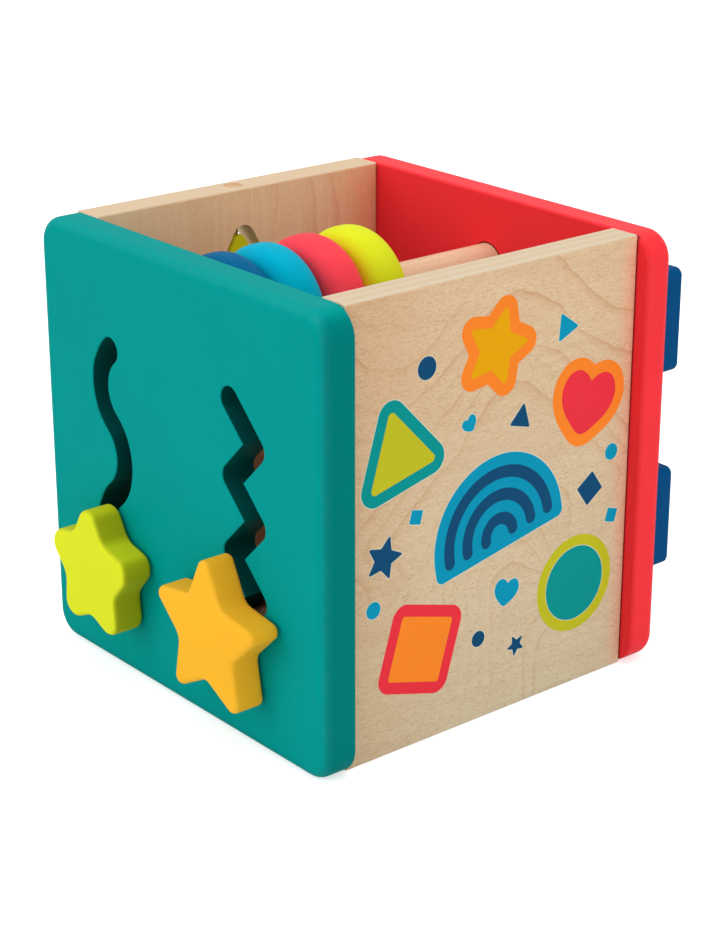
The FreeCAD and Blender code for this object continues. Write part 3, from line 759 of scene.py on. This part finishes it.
def grown(outline, by, centre=None, count=360):
    """The outline spread outward with round corners; its every edge must be seen from centre."""
    A = np.asarray(outline, float)
    middle = A.mean(0) if centre is None else np.array(centre, float)
    edge = np.roll(A, -1, 0) - A
    edge_square = (edge**2).sum(1)
    edge_square[edge_square == 0] = 1e-12
    angles = np.linspace(0, 2 * math.pi, count, endpoint=False)
    rays = np.stack([np.cos(angles), np.sin(angles)], 1)
    low = np.zeros(count)
    high = np.full(count, np.abs(A - middle).max() * 1.5 + by)

    def gap(p):
        """Distance from the outline, negative inside it."""
        rel = p[:, None, :] - A[None]
        t = np.clip((rel * edge[None]).sum(2) / edge_square[None], 0, 1)
        near = np.linalg.norm(rel - t[..., None] * edge[None], axis=2).min(1)
        ends = np.roll(A, -1, 0)
        cross = (A[None, :, 1] > p[:, None, 1]) != (ends[None, :, 1] > p[:, None, 1])
        rise = np.where(edge[:, 1] == 0, 1e-12, edge[:, 1])
        at = A[None, :, 0] + (p[:, None, 1] - A[None, :, 1]) * (edge[:, 0] / rise)[None]
        inside = (cross & (p[:, None, 0] < at)).sum(1) % 2 == 1
        return np.where(inside, -near, near)

    # halve the range along every ray until it closes on the wanted distance
    for _ in range(26):
        half = (low + high) / 2
        outside = gap(middle + rays * half[:, None]) > by
        high = np.where(outside, half, high)
        low = np.where(outside, low, half)
    return middle + rays * ((low + high) / 2)[:, None]


# ---------------------------------------------------------------- prints on the right board

SUNK = 0.04  # how far each print reaches into the board
LEVEL = 0.035  # how far each level stands out from the one below
RAISE = 1.1  # the outlines are laid out from a line this far above the floor
MERGE = 0.02  # outline points nearer than this are merged
RIM = 0.30  # white under-print left showing round the blue and green shapes


def tidy(outline):
    """The outline raised to its place, without doubled points, running anticlockwise."""
    P = np.asarray(outline, float) + [0.0, RAISE]
    keep = [0]
    for i in range(1, len(P)):
        if np.linalg.norm(P[i] - P[keep[-1]]) > MERGE:
            keep.append(i)
    if np.linalg.norm(P[keep[-1]] - P[0]) <= MERGE:
        keep.pop()
    P = P[keep]
    area = 0.5 * np.sum(P[:, 0] * np.roll(P[:, 1], -1) - np.roll(P[:, 0], -1) * P[:, 1])
    return P[::-1] if area < 0 else P


def build_print(name, layers):
    """One mesh of flat closed layers of ink, each given as (outline, ink, level)."""
    verts, faces, face_inks, inks = [], [], [], []
    for outline, layer_ink, level in layers:
        P = tidy(outline)
        n, base = len(P), len(verts)
        for depth in (SIDE_X - SUNK, SIDE_X + LEVEL * level):
            verts += [(depth * MM, p[0] * MM, p[1] * MM) for p in P]
        faces.append([base + n + i for i in range(n)])
        faces.append([base + i for i in reversed(range(n))])
        for i in range(n):
            j = (i + 1) % n
            faces.append([base + i, base + j, base + n + j, base + n + i])
        if layer_ink not in inks:
            inks.append(layer_ink)
        face_inks += [inks.index(layer_ink)] * (n + 2)

    mesh = bpy.data.meshes.new(name)
    mesh.from_pydata(verts, [], faces)
    for used in inks:
        mesh.materials.append(used)
    mesh.polygons.foreach_set("material_index", face_inks)
    mesh.update()
    o = bpy.data.objects.new(name, mesh)
    bpy.context.scene.collection.objects.link(o)
    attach(o, "box")


under = ink("print_white_under", lin(216, 218, 196), 0.2)
orange = ink("print_orange", lin(255, 136, 42), 1.0)
gold = ink("print_gold", lin(238, 169, 4), 2.0)
red = ink("print_red", lin(239, 52, 66), 3.0)
teal = ink("print_teal", lin(0, 149, 147), 4.0)
olive = ink("print_olive_lime", lin(196, 193, 36), 5.0)
cyan = ink("print_cyan", lin(0, 151, 187), 6.0)
navy = ink("print_navy", lin(15, 76, 117), 7.0)
tangerine = ink("print_tangerine", lin(255, 139, 41), 8.0)


def bordered(outline, centre, border, border_ink, fill_ink):
    """Layers of a shape inside a wider border."""
    return [(grown(outline, border, centre), border_ink, 1), (outline, fill_ink, 2)]


middle = (-0.3, 133.2)
shape = rounded(star(middle, tip=14.8, dip=7.6, turn=0.0), [0.9, 1.4] * 5)
build_print("print_star", bordered(shape, middle, 4.25, orange, gold))

shape = heart(notch=(44.7, 112.1), size=1.0, turn=14.9)
build_print("print_heart", bordered(shape, (42.5, 106.0), 4.3, orange, red))

middle, border = (-42.1, 105.6), 4.2
shape = rounded(regular(middle, 3, reach=17.3, turn=103.5), 1.6)
layers = [(grown(shape, border + RIM, middle), under, 0.5)]
layers += bordered(shape, middle, border, teal, olive)
build_print("print_triangle", layers)

# bow of three arcs on a half disc with a rounded foot
middle, tilt = (2.95, 65.85), 11.4
bow_radius, foot_depth, foot_round = 29.5, 5.6, 3.4
dome = on_circle((0.0, 0.0), bow_radius, np.linspace(0, 180, 97))
foot_corners = [
    (bow_radius, 0.0),
    (-bow_radius, 0.0),
    (-bow_radius, -foot_depth),
    (bow_radius, -foot_depth),
]
foot = rounded(foot_corners, [0, 0, foot_round, foot_round])
# the foot's first two points are the ends of the dome
shape = turned(np.vstack([dome, foot[2:]]), tilt) + np.array(middle)
layers = [(grown(shape, RIM, middle), under, 0.5), (shape, cyan, 1)]
for radius in (22.9, 14.75, 6.2):
    layers.append((arc_band(middle, radius, 4.4, tilt, tilt + 180), navy, 2))
build_print("print_bow", layers)

middle, side = (-32.35, 33.85), 23.1
shape = rounded(regular(middle, 4, reach=side / math.sqrt(2), turn=45 - 16.5), 1.1)
build_print("print_square", bordered(shape, middle, 4.25, red, tangerine))

middle, inner_radius = (39.8, 37.8), 13.9
layers = [
    (disc(middle, 18.1, 144), olive, 1),
    (disc(middle, inner_radius + RIM * 0.8, 120), under, 1.5),
    (disc(middle, inner_radius, 120), teal, 2),
]
build_print("print_disc", layers)

small_navy = [
    disc((-30.7, 132.8), 3.95, 48),
    rounded([(13.0, 111.5), (15.8, 102.0), (6.3, 104.6)], 0.5, 5),
    rounded(regular((45.8, 72.2), 4, reach=6.35, turn=80.0), 0.5, 5),
    rounded(star((-48.5, 71.25), tip=8.3, dip=4.0, turn=-1.0), [0.45, 0.5] * 5, 4),
    disc((-6.0, 29.75), 2.95, 40),
    rounded(star((11.9, 22.0), tip=4.4, dip=2.0, turn=43.0), [0.25, 0.2] * 5, 3),
]
small_cyan = [
    rounded([(29.1, 139.5), (37.6, 133.4), (28.2, 129.2)], 0.6, 5),
    disc((55.9, 83.5), 3.05, 40),
    rounded(regular((-34.75, 82.3), 4, reach=3.5, turn=45 - 14.5), 0.35, 4),
    rounded(regular((57.15, 59.2), 4, reach=3.55, turn=45 - 16.5), 0.35, 4),
    disc((-52.9, 54.1), 3.05, 40),
    heart((7.4, 46.9), size=0.44, turn=13.0),
    heart((-12.5, 110.9), size=0.245, turn=-28.0),
]
for name, shapes, fill, slot in (
    ("print_small_navy", small_navy, navy, "dark_blue_paint"),
    ("print_small_cyan", small_cyan, cyan, "light_blue_paint"),
):
    layers = []
    for shape in shapes:
        layers += [(grown(shape, RIM * 0.85, count=120), under, 0.5), (shape, fill, 1)]
    build_print(name, layers)


# ---------------------------------------------------------------- floor, light and camera (metres)

FLOOR_LIFT = 0.56  # glow of the floor, seen by the camera alone
FLOOR_REACH = 9.0
FLOOR_DROP = 0.0002
SKY = 0.72  # strength of the room's light on matt surfaces
GLOSS_LOW, GLOSS_HIGH = 0.04, 0.50  # what reflections see below and above
GLOSS_REAR = 0.40  # added to reflections towards the back (+Y)


def floor_material():
    """Plain white paper, brighter to the camera than to the object, as a clean studio sweep."""
    g = new_graph("studio_floor")
    x, y, _ = g.place()
    soft = g.noise((x, 0.01), (y, 0.01), 0.0)
    seen = g.node("ShaderNodeLightPath").outputs["Is Camera Ray"]
    return g.surface(
        g.shade(lin(246, 246, 246), g.linear(soft, (0.3, 0.7), to=(0.995, 1.005))),
        0.8,
        Specular_IOR_Level=0.0,
        Emission_Color=(1, 1, 1, 1),
        Emission_Strength=g.mul(seen, FLOOR_LIFT),
    )


def build_floor():
    mesh = bpy.data.meshes.new("studio_floor")
    corners = [(i * FLOOR_REACH, j * FLOOR_REACH, 0) for i, j in ((-1, -1), (1, -1), (1, 1), (-1, 1))]
    mesh.from_pydata(corners, [], [(0, 1, 2, 3)])
    floor = bpy.data.objects.new("studio_floor", mesh)
    floor.location = (0, 0, -FLOOR_DROP)
    mesh.materials.append(floor_material())
    floor.visible_glossy = False
    bpy.context.scene.collection.objects.link(floor)


def build_world():
    """A soft white room; reflections see it bright above and dim below, which keeps paint deep."""
    world = bpy.data.worlds.new("studio")
    bpy.context.scene.world = world
    g = Graph(world)
    path = g.node("ShaderNodeLightPath").outputs
    generated = g.node("ShaderNodeTexCoord").outputs["Generated"]
    way = g.node("ShaderNodeSeparateXYZ", {0: generated}).outputs
    rise = g.smooth(way[2], (-0.25, 0.75), to=(GLOSS_LOW, GLOSS_HIGH))
    rear = g.smooth(way[1], (-0.4, 0.7), to=(0.0, GLOSS_REAR))

    def choose(mask, a, b):
        return g.node("ShaderNodeMix", {0: mask, 2: a, 3: b}, data_type="FLOAT").outputs[0]

    lit = choose(path["Is Glossy Ray"], SKY, g.add(rise, rear))
    strength = choose(path["Is Camera Ray"], lit, 1.0)
    light = g.node("ShaderNodeBackground", {0: (1, 1, 1, 1), 1: strength})
    g.node("ShaderNodeOutputWorld", {"Surface": light.outputs[0]})


def softbox(name, place, size, watts):
    """A rectangular light aimed at the middle of the box."""
    aim = Vector((0, 0, 0.08))
    data = bpy.data.lights.new(name, "AREA")
    data.shape = "RECTANGLE"
    data.size, data.size_y = size
    data.energy = watts
    o = bpy.data.objects.new(name, data)
    o.location = place
    o.rotation_mode = "QUATERNION"
    o.rotation_quaternion = (aim - Vector(place)).to_track_quat("-Z", "Y")
    bpy.context.scene.collection.objects.link(o)


def build_camera():
    data = bpy.data.cameras.new("view")
    data.lens = 86.93
    data.sensor_width = 36.0
    data.sensor_fit = "AUTO"
    data.clip_start, data.clip_end = 0.02, 60.0
    camera = bpy.data.objects.new("view", data)
    around, above = 0.877656478, 0.365770067  # radians: from the front towards +X, and upward
    level = math.cos(above)
    back = Vector((math.sin(around) * level, -math.cos(around) * level, math.sin(above)))
    right = Vector((math.cos(around), math.sin(around), 0.0))
    up = right.cross(-back)
    pose = Matrix((right, up, back)).transposed().to_4x4()
    pose.translation = Vector((0.584436, -0.481741, 0.361554))
    camera.matrix_world = pose
    bpy.context.scene.collection.objects.link(camera)
    bpy.context.scene.camera = camera


build_floor()
build_world()
softbox("key", place=(-0.55, -1.75, 0.95), size=(1.5, 1.3), watts=11.0)
softbox("side", place=(1.75, 0.25, 0.80), size=(1.4, 1.3), watts=3.3)
softbox("top", place=(0.15, 0.10, 2.0), size=(1.4, 1.4), watts=11.5)
build_camera()

bpy.context.scene.view_settings.view_transform = "Standard"
bpy.context.scene.view_settings.look = "None"
